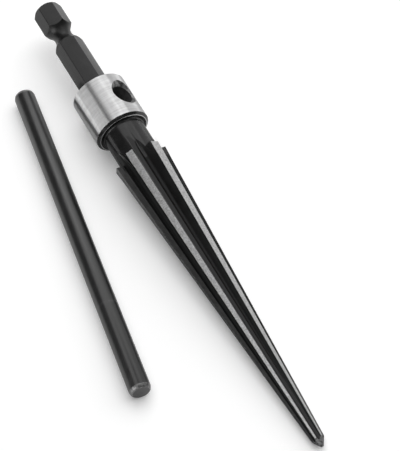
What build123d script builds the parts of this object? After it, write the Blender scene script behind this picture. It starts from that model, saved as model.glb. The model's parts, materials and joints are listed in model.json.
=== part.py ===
from build123d import *
import os
from math import acos, atan2, cos, degrees, hypot, radians, sin, tan

# A T-handle taper reamer with its bar drawn out of the cross hole and laid beside it.
# Lengths are in millimetres and angles in degrees.

# Hex shank with its snap-in groove
hex_across_flats = 6.35
shank_length = 28.0
shank_end_diameter = 6.25
shank_chamfer_length = 0.65
groove_start = 6.3
groove_end = 12.4
groove_point_distance = 9.0
groove_point_diameter = 2.9
groove_root_radius = 3.5
hex_clocking = -2.2

# Collar with the cross hole for the bar
collar_diameter = 13.5
collar_width = 13.1
collar_back_chamfer = 0.25
collar_front_chamfer = 0.6
hole_from_collar_back = 6.1
hole_clocking = 12.0
hole_mouth_angle = 90.0
hole_mouth_depth = 1.05

# Neck between the collar and the flutes
neck_diameter = 10.1
neck_length = 8.6
neck_root_radius = 0.35

# Fluted taper, 3 to 13 mm
large_diameter = 13.0
small_diameter = 3.0
taper_length = 80.1
tip_length = 1.9
tip_flat_diameter = 0.6
tooth_count = 6

# Section of a tooth: the bright land, the step behind it, the heel flat and the flute.
# Ratios are shares of the radius at that place along the taper. The lands are ground by
# hand, and the first one came out wider than the others.
land_angles = (20.5, 15.8, 15.8, 15.8, 15.8, 15.8)
land_relief = 0.012
land_cut_spare = 2.0
heel_flat_ratio = 0.745
heel_flat_angle = 21.0
heel_step_radius_large = 0.42
heel_step_radius_small = 0.20
heel_flat_reach_large = 0.62
heel_flat_reach_small = 0.54
heel_cut_ratio = 0.45
face_rake = 18.0
flute_back_lean = 10.0
flute_root_radius_large = 0.85
flute_root_radius_small = 0.15
flute_run_out = 4.8
flute_cutter_radius = 20.0
flute_cutter_clearance = 0.3

# Bar that slides through the cross hole, lying beside the body
bar_diameter = 5.0
bar_length = 87.1
bar_end_chamfer = 0.45
bar_hole_clearance = 0.3
bar_start_distance = 16.2
bar_side_distance = 14.5
bar_turn = 8.7

# Places along the axis, measured from the shank's end
collar_back = shank_length
collar_front = collar_back + collar_width
taper_start = collar_front + neck_length
taper_end = taper_start + taper_length
tip_end = taper_end + tip_length
cut_end = tip_end + 1.0

# Radii and pitches that follow from the sizes above
collar_radius = collar_diameter / 2
neck_radius = neck_diameter / 2
large_radius = large_diameter / 2
small_radius = small_diameter / 2
hole_radius = (bar_diameter + bar_hole_clearance) / 2
hex_corner_radius = hex_across_flats / 2 / cos(radians(30))
tooth_pitch = 360 / tooth_count
outside = 1.3


def polar(radius, angle):
    """A point of a cross section: the angle runs from the top, which is the first tooth."""
    return (radius * sin(radians(angle)), radius * cos(radians(angle)))


def taper_radius(along):
    return large_radius + (small_radius - large_radius) * (along - taper_start) / taper_length


def by_size(along, at_large, at_small):
    """A size that changes evenly from the large end of the taper to the small end."""
    share = (along - taper_start) / taper_length
    return max(at_large + (at_small - at_large) * share, at_small / 2)


def land_line_radius(radius, land_angle, angle):
    """Distance from the axis to the flat land, which falls away behind the cutting edge."""
    heel = polar(radius * (1 - land_relief), land_angle)
    normal = degrees(atan2(radius - heel[1], heel[0]))
    return radius * cos(radians(normal)) / cos(radians(angle - normal))


def land_cut(radius, land_angle):
    """What the grinding takes off the cone above one land."""
    before = -land_cut_spare / 2
    behind = land_angle + land_cut_spare
    return [
        polar(land_line_radius(radius, land_angle, before), before),
        polar(land_line_radius(radius, land_angle, behind), behind),
        polar(radius * outside, behind),
        polar(radius * outside, before),
    ]


def heel_frame(point):
    """A point given across and up from the heel flat, turned into the section's frame."""
    turn = radians(heel_flat_angle)
    across, up = point
    return (across * cos(turn) + up * sin(turn), up * cos(turn) - across * sin(turn))


def heel_cut(along, land_angle):
    """The step and the flat behind one land, open towards the flute."""
    radius = taper_radius(along)
    wall = radius * (1 - land_relief) * sin(radians(land_angle - heel_flat_angle))
    floor = radius * heel_flat_ratio
    far = radius * heel_cut_ratio
    top = radius * outside
    corners = [(wall, top), (wall, floor), (far, floor), (far, top)]
    return [heel_frame(corner) for corner in corners]


def flute_lines(along):
    """The flute's root corner, its cutting face direction and its back direction, outwards."""
    radius = taper_radius(along)
    edge = polar(radius, tooth_pitch)
    face = polar(1, tooth_pitch + face_rake)
    back = polar(1, heel_flat_angle - flute_back_lean)
    flat_reach = by_size(along, heel_flat_reach_large, heel_flat_reach_small)
    top = heel_frame((flat_reach, radius * heel_flat_ratio))
    cross = face[0] * back[1] - face[1] * back[0]
    reach = ((edge[0] - top[0]) * back[1] - (edge[1] - top[1]) * back[0]) / cross
    root = (edge[0] - reach * face[0], edge[1] - reach * face[1])
    return root, face, back


def flute_cut(along):
    """A wedge that holds the whole flute, from its root to outside the cone."""
    root, face, back = flute_lines(along)
    reach = taper_radius(along) * outside
    return [
        (root[0] + back[0] * reach, root[1] + back[1] * reach),
        root,
        (root[0] + face[0] * reach, root[1] + face[1] * reach),
    ]


# Places where the tooth's section is drawn
run_out_start = taper_start + flute_run_out
flute_root_radius = by_size(run_out_start, flute_root_radius_large, flute_root_radius_small)

# The flute's cutter rises square to the heel flat
face_angle = tooth_pitch + face_rake
back_angle = heel_flat_angle - flute_back_lean
wedge_half_angle = (face_angle - back_angle) / 2
wedge_middle_angle = (face_angle + back_angle) / 2
rise = polar(1, heel_flat_angle)
across_rise = (rise[1], -rise[0])
root_corner = flute_lines(run_out_start)[0]
root_centre_reach = flute_root_radius / sin(radians(wedge_half_angle))
root_lift = root_centre_reach * cos(radians(wedge_middle_angle - heel_flat_angle)) - flute_root_radius
root_height = root_corner[0] * rise[0] + root_corner[1] * rise[1] + root_lift
cutter_height = root_height + flute_cutter_radius
clear_rise = large_radius - root_height + flute_cutter_clearance
run_out_angle = degrees(acos(1 - clear_rise / flute_cutter_radius))

# One flute: the straight part of the cutter's path, then the arc where it lifts out
with BuildPart() as flute_cutter:
    for place in (run_out_start, cut_end):
        root_radius = by_size(place, flute_root_radius_large, flute_root_radius_small)
        with BuildSketch(Plane.YZ.offset(place)):
            with BuildLine():
                FilletPolyline(flute_cut(place), radius=[0, root_radius, 0], close=True)
            make_face()
    loft(ruled=True)
    with BuildSketch(Plane.YZ.offset(run_out_start)):
        with BuildLine():
            FilletPolyline(flute_cut(run_out_start), radius=[0, flute_root_radius, 0], close=True)
        make_face()
    cutter_axis = Axis(
        (run_out_start, rise[0] * cutter_height, rise[1] * cutter_height),
        (0, across_rise[0], across_rise[1]),
    )
    revolve(axis=cutter_axis, revolution_arc=run_out_angle)

# Behind each land a step and flat, run straight on until they leave the neck, and on the
# land its relief
heel_cutters = []
land_cutters = []
for land_angle in land_angles:
    with BuildPart() as heel_cutter:
        for place in (collar_front, cut_end):
            step_radius = by_size(place, heel_step_radius_large, heel_step_radius_small)
            with BuildSketch(Plane.YZ.offset(place)):
                with BuildLine():
                    FilletPolyline(
                        heel_cut(place, land_angle), radius=[0, step_radius, 0, 0], close=True
                    )
                make_face()
        loft(ruled=True)
    heel_cutters.append(heel_cutter.part)

    with BuildPart() as land_cutter:
        for place in (taper_start, cut_end):
            with BuildSketch(Plane.YZ.offset(place)):
                with BuildLine():
                    Polyline(land_cut(taper_radius(place), land_angle), close=True)
                make_face()
        loft(ruled=True)
    land_cutters.append(land_cutter.part)

# Body: one turned and milled piece, its axis along X from the shank's end
with BuildPart() as reamer_body:
    with BuildSketch(Plane.XZ):
        with BuildLine():
            FilletPolyline(
                (collar_back, 0),
                (collar_back, collar_radius - collar_back_chamfer),
                (collar_back + collar_back_chamfer, collar_radius),
                (collar_front - collar_front_chamfer, collar_radius),
                (collar_front, collar_radius - collar_front_chamfer),
                (collar_front, neck_radius),
                (taper_start, neck_radius),
                (taper_start, large_radius),
                (taper_end, small_radius),
                (tip_end, tip_flat_diameter / 2),
                (tip_end, 0),
                radius=[0, 0, 0, 0, 0, neck_root_radius, 0, 0, 0, 0, 0],
                close=True,
            )
        make_face()
    revolve(axis=Axis.X)

    # Hex shank
    with BuildSketch(Plane.YZ):
        RegularPolygon(hex_across_flats / 2, 6, major_radius=False, rotation=90 - hex_clocking)
    extrude(amount=collar_back + collar_back_chamfer)

    # Chamfer on the shank's end
    with BuildSketch(Plane.XZ):
        with BuildLine():
            Polyline(
                (0, shank_end_diameter / 2),
                (shank_chamfer_length, hex_corner_radius),
                (shank_chamfer_length, collar_radius),
                (0, collar_radius),
                close=True,
            )
        make_face()
    revolve(axis=Axis.X, mode=Mode.SUBTRACT)

    # Round-bottomed groove that a quick-change chuck snaps into
    with BuildSketch(Plane.XZ):
        with BuildLine():
            FilletPolyline(
                (groove_start, collar_radius),
                (groove_start, hex_corner_radius),
                (groove_point_distance, groove_point_diameter / 2),
                (groove_end, hex_corner_radius),
                (groove_end, collar_radius),
                radius=[0, 0, groove_root_radius, 0, 0],
                close=True,
            )
        make_face()
    revolve(axis=Axis.X, mode=Mode.SUBTRACT)

    # Cross hole, with a countersunk mouth on each side
    hole_along = collar_back + hole_from_collar_back
    for side in (0, 180):
        outward = polar(1, hole_clocking + side)
        mouth = Plane(
            origin=(hole_along, outward[0] * collar_radius, outward[1] * collar_radius),
            x_dir=(1, 0, 0),
            z_dir=(0, outward[0], outward[1]),
        )
        with Locations(mouth):
            CounterSinkHole(
                radius=hole_radius,
                counter_sink_radius=hole_radius
                + hole_mouth_depth * tan(radians(hole_mouth_angle / 2)),
                depth=collar_radius,
                counter_sink_angle=hole_mouth_angle,
            )

    # Lands, heels and flutes all round the taper
    for tooth in range(tooth_count):
        turn = -tooth * tooth_pitch
        for cutter in (land_cutters[tooth], heel_cutters[tooth], flute_cutter.part):
            add(cutter.rotate(Axis.X, turn), mode=Mode.SUBTRACT)

# Bar, its axis along X
with BuildPart() as tommy_bar:
    with BuildSketch(Plane.YZ):
        Circle(bar_diameter / 2)
    extrude(amount=bar_length)
    ends = tommy_bar.edges().filter_by(GeomType.CIRCLE)
    chamfer(ends, length=bar_end_chamfer)

# The body lies on the front edge of its collar and, at the tip, on the two teeth of one flute
resting_flute = 2
lead = polar(small_radius, tooth_pitch)
heel = polar(small_radius * (1 - land_relief), land_angles[resting_flute])
rest_angle = degrees(atan2(heel[1] - lead[1], lead[0] - heel[0]))
rest_radius = lead[0] * sin(radians(rest_angle)) + lead[1] * cos(radians(rest_angle))
collar_edge = collar_front - collar_front_chamfer
rest_tilt = degrees(atan2(collar_radius - rest_radius, taper_end - collar_edge))
roll = rest_angle + resting_flute * tooth_pitch - 180
tilt = radians(rest_tilt)
body_height = collar_radius * cos(tilt) + collar_edge * sin(tilt)
lie_down = Location((0, 0, body_height)) * Location((0, 0, 0), (0, rest_tilt, 0))
lie_down = lie_down * Location((0, 0, 0), (roll, 0, 0))
reamer_body.part.locate(lie_down)

# The bar lies beside it on the same surface
bar_place = Location((bar_start_distance, -bar_side_distance, bar_diameter / 2))
tommy_bar.part.locate(bar_place * Location((0, 0, 0), (0, 0, -bar_turn)))

# The origin is the middle of the pair, on the surface they lie on
both = Compound(children=[reamer_body.part.moved(Location()), tommy_bar.part.moved(Location())])
middle = both.bounding_box().center()
to_origin = Location((-middle.X, -middle.Y, 0))
reamer_body.part.locate(to_origin * reamer_body.part.location)
tommy_bar.part.locate(to_origin * tommy_bar.part.location)

os.makedirs("parts", exist_ok=True)
reamer_body.part.label = "reamer_body"
export_step(reamer_body.part, "parts/reamer_body.step")
tommy_bar.part.label = "tommy_bar"
export_step(tommy_bar.part, "parts/tommy_bar.step")

# Places of the two mounts, for the record
place = reamer_body.part.location
hole_out = polar(1, hole_clocking)
hole_middle = (place * Location((hole_along, 0, 0))).position
hole_axis_end = (place * Location((hole_along, hole_out[0], hole_out[1]))).position
shank_middle = (place * Location((shank_length / 2, 0, 0))).position
shank_axis_end = (place * Location((shank_length / 2 - 1, 0, 0))).position
print("hole middle", tuple(hole_middle), tuple(hole_axis_end))
print("shank middle", tuple(shank_middle), tuple(shank_axis_end))
print("bore radius", hole_radius)
print("bore length", 2 * (collar_radius - hole_mouth_depth))
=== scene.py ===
import json
import math

import bpy
from mathutils import Matrix, Vector


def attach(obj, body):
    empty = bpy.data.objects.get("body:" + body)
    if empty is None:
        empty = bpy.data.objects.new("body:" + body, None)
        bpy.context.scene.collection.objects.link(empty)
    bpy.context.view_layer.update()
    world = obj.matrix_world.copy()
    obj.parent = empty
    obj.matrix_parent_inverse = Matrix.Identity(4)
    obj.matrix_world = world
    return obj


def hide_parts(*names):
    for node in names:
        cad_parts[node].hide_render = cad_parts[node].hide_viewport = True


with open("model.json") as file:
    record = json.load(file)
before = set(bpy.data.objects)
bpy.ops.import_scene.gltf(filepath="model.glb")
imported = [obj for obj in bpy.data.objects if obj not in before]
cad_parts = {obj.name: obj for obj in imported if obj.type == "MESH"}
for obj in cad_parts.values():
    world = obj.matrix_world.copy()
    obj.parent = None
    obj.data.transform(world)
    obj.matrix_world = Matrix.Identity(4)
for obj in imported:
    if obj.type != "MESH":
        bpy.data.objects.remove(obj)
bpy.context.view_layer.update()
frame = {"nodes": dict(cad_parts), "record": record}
print("frame loaded:", sorted(frame["nodes"]))

mm = 0.001

# The tool's own frame comes from its two mounts: X runs from the shank's end to the tip, and
# Z points at the first tooth. The bar's frame has X along the bar from its far end.
toolFit = {
    "shankLength": 28.0,
    "holeTurn": 12.0,  # degrees from the first tooth to the cross hole
    "barStart": (-49.45, -2.84, 2.5),
    "barTurn": 8.7,
}


def findToolFrame():
    mounts = {mount["name"]: mount for mount in frame["record"]["mounts"]}
    shank = mounts["hex_shank"]
    back = Vector(shank["axis"]).normalized()
    start = Vector(shank["pos_m"]) + back * toolFit["shankLength"] / 2 * mm
    along = -back
    hole = Vector(mounts["cross_hole"]["axis"]).normalized()
    tooth = Matrix.Rotation(math.radians(toolFit["holeTurn"]), 3, along) @ hole
    side = tooth.cross(along)
    return start, Matrix((along, side, tooth)).transposed()


toolStart, toolTurn = findToolFrame()
toolInverse = toolTurn.transposed()
barStart = Vector(toolFit["barStart"]) * mm
barTurn = Matrix.Rotation(math.radians(-toolFit["barTurn"]), 3, "Z")


# Mesh helpers

meshClean = {
    "mergeDistance": 1e-6,  # metres
    "flatAngle": 0.4,  # degrees up to which faces count as one flat
}


def deselectAll():
    if bpy.context.object and bpy.context.object.mode != "OBJECT":
        bpy.ops.object.mode_set(mode="OBJECT")
    bpy.ops.object.select_all(action="DESELECT")


def activate(piece):
    deselectAll()
    piece.select_set(True)
    bpy.context.view_layer.objects.active = piece


# A merged copy of a solid, with its flat and straight stretches joined up again
def copyNode(node, name):
    piece = bpy.data.objects.new(name, frame["nodes"][node].data.copy())
    piece.data.name = name
    bpy.context.scene.collection.objects.link(piece)
    activate(piece)
    bpy.ops.mesh.customdata_custom_splitnormals_clear()
    bpy.ops.object.mode_set(mode="EDIT")
    bpy.ops.mesh.select_all(action="SELECT")
    bpy.ops.mesh.remove_doubles(threshold=meshClean["mergeDistance"])
    bpy.ops.mesh.dissolve_limited(angle_limit=math.radians(meshClean["flatAngle"]))
    bpy.ops.mesh.normals_make_consistent(inside=False)
    bpy.ops.object.mode_set(mode="OBJECT")
    return piece


# Leaves nothing in a piece selected, so that its edges or vertices can be picked by place
def clearSelection(piece, kind):
    activate(piece)
    bpy.ops.object.mode_set(mode="EDIT")
    bpy.ops.mesh.select_mode(type=kind)
    bpy.ops.mesh.select_all(action="DESELECT")
    bpy.ops.object.mode_set(mode="OBJECT")


# The vertices of a piece in the tool's own frame, in millimetres
def toolPoints(piece):
    return [toolInverse @ (vertex.co - toolStart) / mm for vertex in piece.data.vertices]


def axisRadius(point):
    return math.hypot(point.y, point.z)


# Gives each face the finish that choose(points, normal) names, in the tool's own frame
def setMaterials(piece, materials, choose):
    piece.data.materials.clear()
    for material in materials.values():
        piece.data.materials.append(material)
    slots = list(materials)
    points = toolPoints(piece)
    for face in piece.data.polygons:
        finish = choose([points[index] for index in face.vertices], toolInverse @ face.normal)
        face.material_index = slots.index(finish)


# Shader helpers

def newMaterial(name):
    material = bpy.data.materials.new(name)
    material.use_nodes = True
    material.node_tree.nodes.clear()
    tree = material.node_tree
    shader = addNode(tree, "ShaderNodeBsdfPrincipled")
    output = addNode(tree, "ShaderNodeOutputMaterial")
    tree.links.new(shader.outputs[0], output.inputs[0])
    return material, tree, shader


def addNode(tree, kind, **values):
    node = tree.nodes.new(kind)
    for name, value in values.items():
        setattr(node, name, value)
    return node


def plug(tree, value, socket):
    if isinstance(value, bpy.types.NodeSocket):
        tree.links.new(value, socket)
    else:
        socket.default_value = value


def mathNode(tree, operation, *values):
    node = addNode(tree, "ShaderNodeMath", operation=operation)
    for place, value in enumerate(values):
        plug(tree, value, node.inputs[place])
    return node.outputs[0]


# The sum of values times their weights, with a shift
def weighedSum(tree, shift, *parts):
    total = shift
    for value, weight in parts:
        total = mathNode(tree, "MULTIPLY_ADD", value, weight, total)
    return total


def mixValue(tree, factor, low, high):
    node = addNode(tree, "ShaderNodeMix", data_type="FLOAT")
    for value, place in ((factor, 0), (low, 2), (high, 3)):  # the number sockets
        plug(tree, value, node.inputs[place])
    return node.outputs[0]


def mixColour(tree, factor, low, high):
    node = addNode(tree, "ShaderNodeMix", data_type="RGBA")
    for value, place in ((factor, 0), (low, 6), (high, 7)):  # the colour sockets
        plug(tree, value, node.inputs[place])
    return node.outputs[2]


def grey(level):
    return (level, level, level, 1)


def newGroup(name, inputs, outputs):
    group = bpy.data.node_groups.new(name, "ShaderNodeTree")
    for label, kind, default in inputs:
        socket = group.interface.new_socket(name=label, in_out="INPUT", socket_type=kind)
        if default is not None:
            socket.default_value = default
    for label, kind in outputs:
        group.interface.new_socket(name=label, in_out="OUTPUT", socket_type=kind)
    return group, addNode(group, "NodeGroupInput"), addNode(group, "NodeGroupOutput")


def useGroup(tree, group, **values):
    node = addNode(tree, "ShaderNodeGroup", node_tree=group)
    for label, value in values.items():
        plug(tree, value, node.inputs[label])
    return node.outputs[0]


# 1 between Low and High, 0 outside, with an edge as wide as Soft that is half way at each
def makeBandGroup():
    group, first, last = newGroup(
        "softBand",
        [("Value", "NodeSocketFloat", 0.0), ("Low", "NodeSocketFloat", 0.0),
         ("High", "NodeSocketFloat", 1.0), ("Soft", "NodeSocketFloat", 0.1)],
        [("Mask", "NodeSocketFloat")],
    )
    value, low, high, soft = (first.outputs[name] for name in ("Value", "Low", "High", "Soft"))
    rise = mathNode(group, "DIVIDE", mathNode(group, "SUBTRACT", value, low), soft)
    fall = mathNode(group, "DIVIDE", mathNode(group, "SUBTRACT", high, value), soft)
    both = mathNode(group, "ADD", mathNode(group, "MINIMUM", rise, fall), 0.5)
    clamped = addNode(group, "ShaderNodeClamp")
    group.links.new(both, clamped.inputs["Value"])
    group.links.new(clamped.outputs[0], last.inputs["Mask"])
    return group


noiseLook = {
    "lineRoughness": 0.6,
    "mottleRoughness": 0.55,
    "mottleDetail": 5.0,
}


# Fine lines across X, such as grinding and turning leave, that wander a little
def makeLineGroup():
    group, first, last = newGroup(
        "toolLines",
        [("Vector", "NodeSocketVector", None), ("Pitch", "NodeSocketFloat", 0.1),
         ("Length", "NodeSocketFloat", 8.0), ("Detail", "NodeSocketFloat", 3.0)],
        [("Height", "NodeSocketFloat")],
    )
    split = addNode(group, "ShaderNodeSeparateXYZ")
    group.links.new(first.outputs["Vector"], split.inputs[0])
    join = addNode(group, "ShaderNodeCombineXYZ")
    for axis, size in (("X", "Pitch"), ("Y", "Length"), ("Z", "Length")):
        scaled = mathNode(group, "DIVIDE", split.outputs[axis], first.outputs[size])
        group.links.new(scaled, join.inputs[axis])
    noise = addNode(group, "ShaderNodeTexNoise")
    noise.inputs["Scale"].default_value = 1.0
    noise.inputs["Roughness"].default_value = noiseLook["lineRoughness"]
    group.links.new(first.outputs["Detail"], noise.inputs["Detail"])
    group.links.new(join.outputs[0], noise.inputs["Vector"])
    group.links.new(noise.outputs["Fac"], last.inputs["Height"])
    return group


# Cloudy patches from 0 to 1, as a chemical finish leaves
def makeMottleGroup():
    group, first, last = newGroup(
        "mottle",
        [("Vector", "NodeSocketVector", None), ("Size", "NodeSocketFloat", 3.0),
         ("Contrast", "NodeSocketFloat", 2.0)],
        [("Mask", "NodeSocketFloat")],
    )
    scaled = addNode(group, "ShaderNodeVectorMath", operation="SCALE")
    group.links.new(first.outputs["Vector"], scaled.inputs[0])
    shrink = mathNode(group, "DIVIDE", 1.0, first.outputs["Size"])
    group.links.new(shrink, scaled.inputs["Scale"])
    noise = addNode(group, "ShaderNodeTexNoise")
    noise.inputs["Scale"].default_value = 1.0
    noise.inputs["Detail"].default_value = noiseLook["mottleDetail"]
    noise.inputs["Roughness"].default_value = noiseLook["mottleRoughness"]
    group.links.new(scaled.outputs[0], noise.inputs["Vector"])
    centred = mathNode(group, "SUBTRACT", noise.outputs["Fac"], 0.5)
    spread = mathNode(group, "MULTIPLY_ADD", centred, first.outputs["Contrast"], 0.5)
    clamped = addNode(group, "ShaderNodeClamp")
    group.links.new(spread, clamped.inputs["Value"])
    group.links.new(clamped.outputs[0], last.inputs["Mask"])
    return group


softBand = makeBandGroup()
toolLines = makeLineGroup()
mottle = makeMottleGroup()


# Object coordinates turned into a piece's own frame, in millimetres, whole and by axis
def ownCoordinates(tree, start, turn):
    source = addNode(tree, "ShaderNodeTexCoord")
    mapping = addNode(tree, "ShaderNodeMapping", vector_type="TEXTURE")
    mapping.inputs["Location"].default_value = start
    mapping.inputs["Rotation"].default_value = turn.to_euler("XYZ")
    mapping.inputs["Scale"].default_value = (mm, mm, mm)
    tree.links.new(source.outputs["Object"], mapping.inputs["Vector"])
    split = addNode(tree, "ShaderNodeSeparateXYZ")
    tree.links.new(mapping.outputs[0], split.inputs[0])
    x, y, z = split.outputs
    return {"vector": mapping.outputs[0], "x": x, "y": y, "z": z}


# The distance from a piece's own X axis
def axisDistance(tree, place):
    squares = [mathNode(tree, "MULTIPLY", place[axis], place[axis]) for axis in ("y", "z")]
    return mathNode(tree, "SQRT", mathNode(tree, "ADD", *squares))


def addBump(tree, shader, height, distance):
    bump = addNode(tree, "ShaderNodeBump")
    bump.inputs["Distance"].default_value = distance
    tree.links.new(height, bump.inputs["Height"])
    tree.links.new(bump.outputs[0], shader.inputs["Normal"])


print("shader groups ready")


# Finishes of the body. Sizes are in millimetres and bump depths in metres.

# Smooth black oxide, with a thin ring of bright bare steel painted on the collar's front rim as
# its edge highlight, and the groove a little duller
oxideLook = {
    "dark": grey(0.0035),
    "pale": grey(0.0080),
    "wearAndHighlight": grey(0.95),
    "reflection": 1.60,
    "roughLow": 0.17,
    "roughHigh": 0.25,
    "patch": 2.5,
    "contrast": 2.2,
    "linePitch": 0.12,
    "lineLength": 6.0,
    "lineDepth": 0.0000012,
    "rimAlong": (40.95, 41.40),
    "rimAlongSoft": 0.03,
    "rimRadius": (5.96, 6.14),
    "rimRadiusSoft": 0.05,
    "rimHighlight": 0.9,
    "rimRough": 0.2,
    "groove": (6.2, 12.6),
    "grooveSoft": 0.4,
    "grooveRough": 0.14,
}
shankLook = dict(oxideLook, reflection=1.48)
heelLook = dict(oxideLook, reflection=1.46)


def makeOxide(name, look):
    material, tree, shader = newMaterial(name)
    place = ownCoordinates(tree, toolStart, toolTurn)
    vector, along = place["vector"], place["x"]
    patches = useGroup(tree, mottle, Vector=vector, Size=look["patch"], Contrast=look["contrast"])
    low, high = look["groove"]
    groove = useGroup(tree, softBand, Value=along, Low=low, High=high, Soft=look["grooveSoft"])
    low, high = look["rimAlong"]
    rimAlong = useGroup(tree, softBand, Value=along, Low=low, High=high, Soft=look["rimAlongSoft"])
    low, high = look["rimRadius"]
    rimAcross = useGroup(tree, softBand, Value=axisDistance(tree, place), Low=low, High=high,
                         Soft=look["rimRadiusSoft"])
    rim = mathNode(tree, "MULTIPLY", rimAlong, rimAcross)
    # painted highlight: a thin ring of bright bare steel on the collar's front rim stands in for
    # the rim's edge highlight
    wearAndHighlight = mathNode(tree, "MULTIPLY", rim, look["rimHighlight"])
    finish = mixColour(tree, patches, look["dark"], look["pale"])
    plug(tree, mixColour(tree, wearAndHighlight, finish, look["wearAndHighlight"]), shader.inputs["Base Color"])
    plug(tree, wearAndHighlight, shader.inputs["Metallic"])
    rough = mixValue(tree, patches, look["roughLow"], look["roughHigh"])
    rough = mathNode(tree, "MULTIPLY_ADD", groove, look["grooveRough"], rough)
    rough = mathNode(tree, "MULTIPLY_ADD", wearAndHighlight, look["rimRough"], rough)
    plug(tree, rough, shader.inputs["Roughness"])
    shader.inputs["IOR"].default_value = look["reflection"]
    lines = useGroup(tree, toolLines, Vector=vector, Pitch=look["linePitch"],
                     Length=look["lineLength"])
    addBump(tree, shader, lines, look["lineDepth"])
    return material


# Matt black oxide as milled, with cutter marks
fluteLook = {
    "dark": grey(0.0025),
    "pale": grey(0.0060),
    "metal": 0.0,
    "reflection": 1.38,
    "roughLow": 0.42,
    "roughHigh": 0.58,
    "patch": 1.8,
    "contrast": 2.5,
    "cutPitch": 0.5,
    "cutLength": 3.0,
    "cutDepth": 0.000006,
}

# The milled step behind each land, greyer than the flutes
stepLook = dict(fluteLook, dark=grey(0.032), pale=grey(0.062))

# The point, left dull by its grinding, with the oxide half gone
tipLook = {
    "dark": grey(0.02),
    "pale": grey(0.50),
    "metal": None,  # bare metal shows in the pale patches
    "reflection": 1.5,
    "roughLow": 0.30,
    "roughHigh": 0.42,
    "patch": 0.45,
    "contrast": 3.5,
    "cutPitch": 0.25,
    "cutLength": 0.25,
    "cutDepth": 0.000004,
}

# The countersink at each end of the cross hole, with chatter marks
mouthLook = {
    "dark": grey(0.06),
    "pale": grey(0.50),
    "metal": 1.0,
    "reflection": 1.5,
    "roughLow": 0.35,
    "roughHigh": 0.50,
    "patch": 0.7,
    "contrast": 2.8,
    "cutPitch": 0.35,
    "cutLength": 0.35,
    "cutDepth": 0.000006,
}

# The drilled wall of the cross hole
boreLook = {
    "dark": grey(0.03),
    "pale": grey(0.08),
    "metal": 0.0,
    "reflection": 1.5,
    "roughLow": 0.45,
    "roughHigh": 0.60,
    "patch": 0.9,
    "contrast": 2.5,
    "cutPitch": 0.4,
    "cutLength": 0.4,
    "cutDepth": 0.000006,
}


def makeCutFinish(name, look):
    material, tree, shader = newMaterial(name)
    vector = ownCoordinates(tree, toolStart, toolTurn)["vector"]
    patches = useGroup(tree, mottle, Vector=vector, Size=look["patch"], Contrast=look["contrast"])
    plug(tree, mixColour(tree, patches, look["dark"], look["pale"]), shader.inputs["Base Color"])
    rough = mixValue(tree, patches, look["roughLow"], look["roughHigh"])
    plug(tree, rough, shader.inputs["Roughness"])
    plug(tree, patches if look["metal"] is None else look["metal"], shader.inputs["Metallic"])
    shader.inputs["IOR"].default_value = look["reflection"]
    cuts = useGroup(tree, toolLines, Vector=vector, Pitch=look["cutPitch"],
                    Length=look["cutLength"])
    addBump(tree, shader, cuts, look["cutDepth"])
    return material


# The collar, ground bright with its grain running round it
groundLook = {
    "dull": grey(0.72),
    "pale": grey(0.95),
    "roughLow": 0.26,
    "roughHigh": 0.36,
    "stretch": 1.0,
    "fine": {"Pitch": 0.12, "Length": 7.0, "Detail": 5.0},
    "fineShare": 0.8,
    "coarse": {"Pitch": 0.45, "Length": 5.0, "Detail": 2.0},
    "coarseShare": 1.5,
    "streak": {"Pitch": 14.0, "Length": 0.5, "Detail": 4.0},
    "streakShare": 0.9,
    "shift": -1.1,
    "lineDepth": 0.0000015,
}


def makeGroundSteel(name, look):
    material, tree, shader = newMaterial(name)
    vector = ownCoordinates(tree, toolStart, toolTurn)["vector"]
    fine, coarse, streaks = (useGroup(tree, toolLines, Vector=vector, **look[kind])
                             for kind in ("fine", "coarse", "streak"))
    shade = weighedSum(tree, look["shift"], (fine, look["fineShare"]),
                       (coarse, look["coarseShare"]), (streaks, look["streakShare"]))
    plug(tree, mixColour(tree, shade, look["dull"], look["pale"]), shader.inputs["Base Color"])
    rough = mixValue(tree, coarse, look["roughHigh"], look["roughLow"])
    plug(tree, rough, shader.inputs["Roughness"])
    shader.inputs["Metallic"].default_value = 1.0
    shader.inputs["Anisotropic"].default_value = look["stretch"]
    axis = addNode(tree, "ShaderNodeCombineXYZ")  # the gloss is stretched along the tool
    for part, value in zip(axis.inputs, toolTurn.col[0]):
        part.default_value = value
    tree.links.new(axis.outputs[0], shader.inputs["Tangent"])
    addBump(tree, shader, fine, look["lineDepth"])
    return material


# The lands, ground with a coarse sparkle
landLook = {
    "dull": grey(0.42),
    "pale": grey(0.88),
    "roughLow": 0.30,
    "roughHigh": 0.44,
    "patch": 0.7,
    "contrast": 2.2,
    "patchShare": 0.3,
    "grain": {"Pitch": 0.26, "Length": 0.4, "Detail": 5.0},
    "grainShare": 2.2,
    "grainDepth": 0.000002,
    "shift": -0.75,
}


def makeLandSteel(name, look):
    material, tree, shader = newMaterial(name)
    vector = ownCoordinates(tree, toolStart, toolTurn)["vector"]
    grain = useGroup(tree, toolLines, Vector=vector, **look["grain"])
    patches = useGroup(tree, mottle, Vector=vector, Size=look["patch"], Contrast=look["contrast"])
    shade = weighedSum(tree, look["shift"], (grain, look["grainShare"]),
                       (patches, look["patchShare"]))
    plug(tree, mixColour(tree, shade, look["dull"], look["pale"]), shader.inputs["Base Color"])
    rough = mixValue(tree, patches, look["roughLow"], look["roughHigh"])
    plug(tree, rough, shader.inputs["Roughness"])
    shader.inputs["Metallic"].default_value = 1.0
    addBump(tree, shader, grain, look["grainDepth"])
    return material


bodyFinishes = {
    "shankOxide": (makeOxide, shankLook),
    "blackOxide": (makeOxide, oxideLook),
    "heelOxide": (makeOxide, heelLook),
    "fluteOxide": (makeCutFinish, fluteLook),
    "stepOxide": (makeCutFinish, stepLook),
    "groundSteel": (makeGroundSteel, groundLook),
    "landSteel": (makeLandSteel, landLook),
    "tipSteel": (makeCutFinish, tipLook),
    "mouthSteel": (makeCutFinish, mouthLook),
    "boreOxide": (makeCutFinish, boreLook),
}


# The body, in millimetres from the shank's end, with its finishes on the faces that have them

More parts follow.
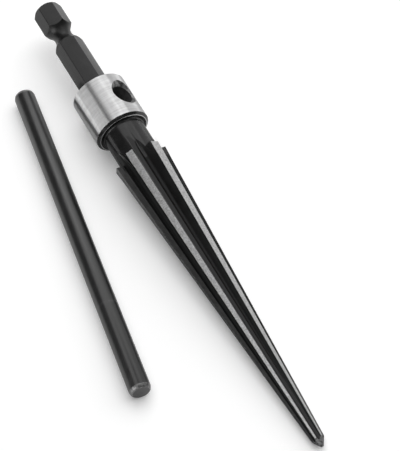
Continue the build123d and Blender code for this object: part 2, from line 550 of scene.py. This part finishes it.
bodyShape = {
    "smoothAngle": 28,  # degrees
    # limits along the tool, a little to one side of the real edges
    "shankTo": 28.05,
    "collarFrom": 27.95,
    "backEdgeTo": 28.35,
    "collarTo": 40.6,
    "neckFrom": 42.0,
    "flutesFrom": 52.65,
    "pointFrom": 129.7,
    # radii that tell a round face from a cut one; the taper's own comes from its sizes
    "collarInner": 6.70,
    "neckInner": 5.0,
    "taperFrom": 49.65,
    "taperLength": 80.1,
    "largeRadius": 6.5,
    "smallRadius": 1.5,
    "landShare": 0.97,  # of the taper's own radius
    "heelShare": 0.70,
    # how squarely a face looks outwards, backwards or along, as the dot product
    "edgeFacing": 0.5,
    "roundFacing": 0.88,
    "stepFacing": 0.35,
    "landLean": 0.3,
    "mouthFacing": (0.5, 0.9),
    # edges to round
    "cornerRadius": 3.3,
    "cornerTo": 28.1,
    "cornerLine": 0.99,  # how nearly a corner runs along the tool
    "cornerRound": 0.25,
    "cornerSegments": 4,
    "collarFront": 41.1,
    "frontReach": 0.02,
    "rim": (6.05, 6.25),
    "rimRound": 0.16,
    "rimSegments": 3,
}


def chooseBodyFinish(points, normal):
    shape = bodyShape
    start = min(point.x for point in points)
    end = max(point.x for point in points)
    inner = min(axisRadius(point) for point in points)
    middle = sum(points, Vector()) / len(points)
    outward = Vector((0, middle.y, middle.z)).normalized()
    facing = normal.dot(outward)
    if start < shape["collarFrom"] and end < shape["shankTo"]:
        return "shankOxide"
    if end < shape["backEdgeTo"]:  # the collar's back face and its edge
        return "groundSteel" if facing > shape["edgeFacing"] else "blackOxide"
    if inner > shape["collarInner"] and end < shape["collarTo"]:  # the collar's round wall
        return "groundSteel"
    if start > shape["pointFrom"]:
        return "tipSteel"
    if end > shape["flutesFrom"]:
        return chooseTaperFinish(points, normal, outward)
    if start > shape["neckFrom"] and inner < shape["neckInner"] and facing < shape["roundFacing"]:
        return "fluteOxide"  # where the flutes run out into the neck
    if start > shape["collarFrom"] and end < shape["collarTo"]:
        return chooseHoleFinish(normal)
    return "blackOxide"


def chooseTaperFinish(points, normal, outward):
    shape = bodyShape
    slope = (shape["smallRadius"] - shape["largeRadius"]) / shape["taperLength"]
    share = min(axisRadius(point) / (shape["largeRadius"] + (point.x - shape["taperFrom"]) * slope)
                for point in points)
    if share > shape["landShare"] and abs(normal.x) < shape["landLean"]:
        return "landSteel"
    behind = outward.cross(Vector((1, 0, 0)))  # away from the cutting edge
    if share > shape["heelShare"] and normal.dot(behind) > shape["stepFacing"]:
        return "stepOxide"
    if share > shape["heelShare"] and normal.dot(outward) > shape["roundFacing"]:
        return "heelOxide"
    return "fluteOxide"


def chooseHoleFinish(normal):
    turn = math.radians(toolFit["holeTurn"])
    low, high = bodyShape["mouthFacing"]
    facing = abs(normal.dot(Vector((0, math.sin(turn), math.cos(turn)))))
    return "mouthSteel" if low < facing < high else "boreOxide"


# Rounds the edges for which wanted(first, last) holds, in the tool's own frame
def bevelEdges(body, wanted, width, segments):
    points = toolPoints(body)
    clearSelection(body, "EDGE")
    for edge in body.data.edges:
        first, last = (points[index] for index in edge.vertices)
        edge.select = wanted(first, last)
    print("edges rounded:", sum(edge.select for edge in body.data.edges))
    bpy.ops.object.mode_set(mode="EDIT")
    bpy.ops.mesh.bevel(offset=width * mm, segments=segments, clamp_overlap=True)
    bpy.ops.object.mode_set(mode="OBJECT")


def isHexCorner(first, last):
    shape = bodyShape
    ends = (first, last)
    onShank = all(axisRadius(point) > shape["cornerRadius"] and point.x < shape["cornerTo"]
                  for point in ends)
    return onShank and abs((last - first).normalized().x) > shape["cornerLine"]


# The ring where the collar's front face meets its chamfer
def isRimCorner(first, last):
    shape = bodyShape
    low, high = shape["rim"]
    return all(abs(point.x - shape["collarFront"]) < shape["frontReach"]
               and low < axisRadius(point) < high for point in (first, last))


def makeReamerBody():
    shape = bodyShape
    body = copyNode("reamer_body", "reamerBody")
    bevelEdges(body, isHexCorner, shape["cornerRound"], shape["cornerSegments"])
    bevelEdges(body, isRimCorner, shape["rimRound"], shape["rimSegments"])
    materials = {name: make(name, look) for name, (make, look) in bodyFinishes.items()}
    setMaterials(body, materials, chooseBodyFinish)
    activate(body)
    bpy.ops.object.shade_smooth_by_angle(angle=math.radians(shape["smoothAngle"]))
    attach(body, "root")
    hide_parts("reamer_body")
    deselectAll()


# The bar, in millimetres from its far end

barLook = {
    "dark": grey(0.0035),
    "pale": grey(0.0080),
    "wearAndHighlight": grey(0.36),
    "reflection": 1.84,
    "roughLow": 0.27,
    "roughHigh": 0.35,
    "wornRough": 0.1,
    "patch": 3.0,
    "contrast": 2.0,
    "speck": 0.5,
    "speckContrast": 4.0,
    "linePitch": 12.0,
    "lineLength": 0.15,
    "lineDepth": 0.0000012,
    "length": 87.1,
    "outerRadius": 2.45,  # just inside the round surface
    "chamfer": 0.45,
    "chamferSlide": 0.45,
    "chamferReach": 0.5,
    "edgeRound": 0.06,
    "roundSegments": 2,
    "edgeAngle": 25,
    "wearAlongSoft": 0.15,
    "wearRadius": (1.915, 4.0),
    "wearRadiusSoft": 0.2,
    "evenWear": 0.2,
    "speckWear": 0.75,
    "ringBand": (64.0, 64.5),
    "ringBandSoft": 0.5,
    "ringBandMetal": 0.10,
}


def makeBarOxide():
    look = barLook
    material, tree, shader = newMaterial("barOxide")
    place = ownCoordinates(tree, barStart, barTurn)
    vector, along = place["vector"], place["x"]
    patches = useGroup(tree, mottle, Vector=vector, Size=look["patch"], Contrast=look["contrast"])
    specks = useGroup(tree, mottle, Vector=vector, Size=look["speck"],
                      Contrast=look["speckContrast"])
    edge = look["chamfer"] + look["chamferSlide"]
    middle = useGroup(tree, softBand, Value=along, Low=edge, High=look["length"] - edge,
                      Soft=look["wearAlongSoft"])
    low, high = look["wearRadius"]
    outer = useGroup(tree, softBand, Value=axisDistance(tree, place), Low=low, High=high,
                     Soft=look["wearRadiusSoft"])
    ends = mathNode(tree, "MULTIPLY", mathNode(tree, "SUBTRACT", 1.0, middle), outer)
    wear = mathNode(tree, "MULTIPLY_ADD", specks, look["speckWear"], look["evenWear"])
    # a faint band of bare-metal specks round the bar between 64 and 64.5 mm
    low, high = look["ringBand"]
    ringBand = useGroup(tree, softBand, Value=along, Low=low, High=high, Soft=look["ringBandSoft"])
    ringBandMetal = mathNode(tree, "MULTIPLY", specks, look["ringBandMetal"])
    wearAndHighlight = mathNode(tree, "MAXIMUM", mathNode(tree, "MULTIPLY", ends, wear),
                    mathNode(tree, "MULTIPLY", ringBand, ringBandMetal))
    finish = mixColour(tree, patches, look["dark"], look["pale"])
    plug(tree, mixColour(tree, wearAndHighlight, finish, look["wearAndHighlight"]), shader.inputs["Base Color"])
    plug(tree, wearAndHighlight, shader.inputs["Metallic"])
    rough = mixValue(tree, patches, look["roughLow"], look["roughHigh"])
    rough = mathNode(tree, "MULTIPLY_ADD", wearAndHighlight, look["wornRough"], rough)
    plug(tree, rough, shader.inputs["Roughness"])
    shader.inputs["IOR"].default_value = look["reflection"]
    lines = useGroup(tree, toolLines, Vector=vector, Pitch=look["linePitch"],
                     Length=look["lineLength"])
    addBump(tree, shader, lines, look["lineDepth"])
    return material


# Slides the outer edge of each end's chamfer inwards, for the long break that the photo shows
def lengthenChamfers(bar):
    look = barLook
    inverse = barTurn.transposed()
    for end, inwards in ((0.0, 1), (look["length"], -1)):
        clearSelection(bar, "VERT")
        for vertex in bar.data.vertices:
            place = inverse @ (vertex.co - barStart) / mm
            near = abs(place.x - end) < look["chamferReach"]
            vertex.select = near and axisRadius(place) > look["outerRadius"]
        print("chamfer vertices:", sum(vertex.select for vertex in bar.data.vertices))
        bpy.ops.object.mode_set(mode="EDIT")
        bpy.ops.transform.translate(value=barTurn.col[0] * inwards * look["chamferSlide"] * mm)
        bpy.ops.object.mode_set(mode="OBJECT")


def makeTommyBar():
    bar = copyNode("tommy_bar", "tommyBar")
    lengthenChamfers(bar)
    bar.data.materials.clear()
    bar.data.materials.append(makeBarOxide())
    activate(bar)
    rounding = bar.modifiers.new("edgeRounding", "BEVEL")
    rounding.width = barLook["edgeRound"] * mm
    rounding.segments = barLook["roundSegments"]
    rounding.limit_method = "ANGLE"
    rounding.angle_limit = math.radians(barLook["edgeAngle"])
    bpy.ops.object.modifier_apply(modifier=rounding.name)
    bpy.ops.object.shade_smooth_by_angle(angle=math.radians(barLook["edgeAngle"]))
    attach(bar, "root")
    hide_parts("tommy_bar")
    deselectAll()


makeReamerBody()
makeTommyBar()
print("pieces and finishes ready")


# Floor, lamps and camera

stageLook = {
    "floorSize": 30.0,  # metres
    "floorColour": grey(0.88),
    "floorRough": 0.95,
    "floorGloss": 0.1,
    "floorGlow": 0.20,
    "reflectionShadeColour": grey(0.03),
    "nearRadius": 110.0,  # round the scene's middle, where the floor's reflection is dimmed
    "nearSoft": 60.0,
    "nearShade": 0.25,
    "worldLevel": 0.12,
    "lampTarget": (0, 12, 5),
    "lampDistance": 1.0,  # metres
    "cameraSide": (0.058, -0.301, 0.952),  # square to the tool's axis, towards the camera
    "rightSide": (0.018, 0.954, 0.300),  # square to both, to the right of the photo
}

# Painted shade that only reflections see, on the floor under and beside the tool where its shadow
# falls:
# its place and soft edge in millimetres, and its strength
reflectionShades = [
    {"x": (-22, 76), "y": (-0.5, 24), "soft": 6, "strength": 1.0},
    {"x": (-48, -12), "y": (-5, 9), "soft": 6, "strength": 0.55},
    {"x": (-54, -24), "y": (24, 90), "soft": 12, "strength": 0.42},
]


# How much of the floor's light is left in reflections: less where shade is painted, on the
# reflection shades and near the tool
def keptLight(tree):
    look = stageLook
    place = ownCoordinates(tree, Vector((0, 0, 0)), Matrix.Identity(3))
    shade = 0.0
    for reflectionShade in reflectionShades:
        sides = [useGroup(tree, softBand, Value=place[axis], Low=reflectionShade[axis][0],
                          High=reflectionShade[axis][1], Soft=reflectionShade["soft"]) for axis in ("x", "y")]
        cover = mathNode(tree, "MULTIPLY", mathNode(tree, "MULTIPLY", *sides), reflectionShade["strength"])
        shade = mathNode(tree, "MAXIMUM", shade, cover)
    away = addNode(tree, "ShaderNodeVectorMath", operation="LENGTH")
    tree.links.new(place["vector"], away.inputs[0])
    near = useGroup(tree, softBand, Value=away.outputs["Value"], Low=-look["nearRadius"],
                    High=look["nearRadius"], Soft=look["nearSoft"])
    dimming = mathNode(tree, "MULTIPLY", near, look["nearShade"])
    return mathNode(tree, "MULTIPLY", mathNode(tree, "SUBTRACT", 1.0, shade),
                    mathNode(tree, "SUBTRACT", 1.0, dimming))


def makeFloor():
    look = stageLook
    deselectAll()
    bpy.ops.mesh.primitive_plane_add(size=look["floorSize"], location=(0, 0, 0))
    floor = bpy.context.object
    floor.name = "floor"
    material, tree, shader = newMaterial("paleFloor")
    shader.inputs["Roughness"].default_value = look["floorRough"]
    shader.inputs["Specular IOR Level"].default_value = look["floorGloss"]
    path = addNode(tree, "ShaderNodeLightPath")
    glossy = path.outputs["Is Glossy Ray"]
    kept = keptLight(tree)
    # painted shade: under the reflection shades the floor turns dark for reflections only
    reflectionShaded = mathNode(tree, "MULTIPLY", glossy, mathNode(tree, "SUBTRACT", 1.0, kept))
    colour = mixColour(tree, reflectionShaded, look["floorColour"], look["reflectionShadeColour"])
    plug(tree, colour, shader.inputs["Base Color"])
    seen = mathNode(tree, "MULTIPLY", glossy, kept)
    for ray in ("Is Camera Ray", "Is Transmission Ray"):
        seen = mathNode(tree, "MAXIMUM", seen, path.outputs[ray])
    shader.inputs["Emission Color"].default_value = grey(1)
    plug(tree, mathNode(tree, "MULTIPLY", seen, look["floorGlow"]),
         shader.inputs["Emission Strength"])
    floor.data.materials.append(material)


# Each lamp faces the tool from a direction: turn about the tool's axis, in degrees from the
# camera's side, and lean along it. Roll turns the lamp about that direction, spread is its reach
# across and along the tool, in degrees, and level is its brightness.
lampSettings = [
    {"name": "topLeftBox", "turn": 9, "lean": -28, "roll": -36, "spread": (34, 66), "level": 0.90},
    {"name": "topRightBox", "turn": 46, "lean": -28, "spread": (38, 70), "level": 0.82},
    {"name": "rightBox", "turn": 84, "lean": -28, "spread": (46, 70), "level": 0.50},
    {"name": "leftFrontBox", "turn": -46, "lean": 12, "spread": (42, 32), "level": 2.7,
     "mirrorOnly": True},
    {"name": "frontBox", "turn": 12, "lean": 50, "spread": (60, 26), "level": 0.25},
    {"name": "tableLight", "turn": 46, "lean": -20, "spread": (104, 84), "level": 1.12,
     "diffuseOnly": True},
]


def makeLamp(settings):
    look = stageLook
    along = toolTurn.col[0]
    turn, lean, roll = (math.radians(settings.get(angle, 0)) for angle in ("turn", "lean", "roll"))
    cameraSide, rightSide = Vector(look["cameraSide"]), Vector(look["rightSide"])
    around = cameraSide * math.cos(turn) + rightSide * math.sin(turn)
    toLamp = along * math.sin(lean) + around * math.cos(lean)
    wide = (along - toLamp * along.dot(toLamp)).normalized()
    wide = Matrix.Rotation(roll, 3, toLamp) @ wide
    acrossSpread, alongSpread = (math.radians(angle) for angle in settings["spread"])
    distance = look["lampDistance"]
    lamp = bpy.data.lights.new(settings["name"], "AREA")
    lamp.shape = "RECTANGLE"
    lamp.size = 2 * distance * math.tan(alongSpread / 2)
    lamp.size_y = 2 * distance * math.tan(acrossSpread / 2) * math.cos(lean)
    lamp.energy = settings["level"] * math.pi * lamp.size * lamp.size_y
    holder = bpy.data.objects.new(settings["name"], lamp)
    bpy.context.scene.collection.objects.link(holder)
    holder.visible_diffuse = not settings.get("mirrorOnly")
    holder.visible_glossy = not settings.get("diffuseOnly")
    place = Vector(look["lampTarget"]) * mm + toLamp * distance
    axes = Matrix((wide, toLamp.cross(wide), toLamp)).transposed()
    holder.matrix_world = Matrix.Translation(place) @ axes.to_4x4()


def makeWorld():
    world = bpy.data.worlds.new("studio")
    world.use_nodes = True
    background = world.node_tree.nodes["Background"]
    background.inputs["Color"].default_value = grey(1)
    background.inputs["Strength"].default_value = stageLook["worldLevel"]
    bpy.context.scene.world = world


cameraView = {
    "target": (3.04 * mm, 16.80 * mm, 0.0),
    "turn": 61.21,
    "rise": 55.02,
    "distance": 388.6 * mm,
    "lens": 152.03,
    "sensor": 36.0,
    "reach": 100,  # metres
}


def makeCamera():
    view = cameraView
    camera = bpy.data.cameras.new("photoCamera")
    holder = bpy.data.objects.new("photoCamera", camera)
    bpy.context.scene.collection.objects.link(holder)
    camera.sensor_fit = "HORIZONTAL"
    camera.sensor_width = view["sensor"]
    camera.lens = view["lens"]
    camera.clip_end = view["reach"]
    holder.rotation_euler = (math.radians(90 - view["rise"]), 0, math.radians(view["turn"]))
    backwards = holder.rotation_euler.to_matrix() @ Vector((0, 0, 1))
    holder.location = Vector(view["target"]) + backwards * view["distance"]
    bpy.context.scene.camera = holder


makeFloor()
for settings in lampSettings:
    makeLamp(settings)
makeWorld()
makeCamera()
bpy.context.scene.view_settings.view_transform = "Standard"
print("stage ready")
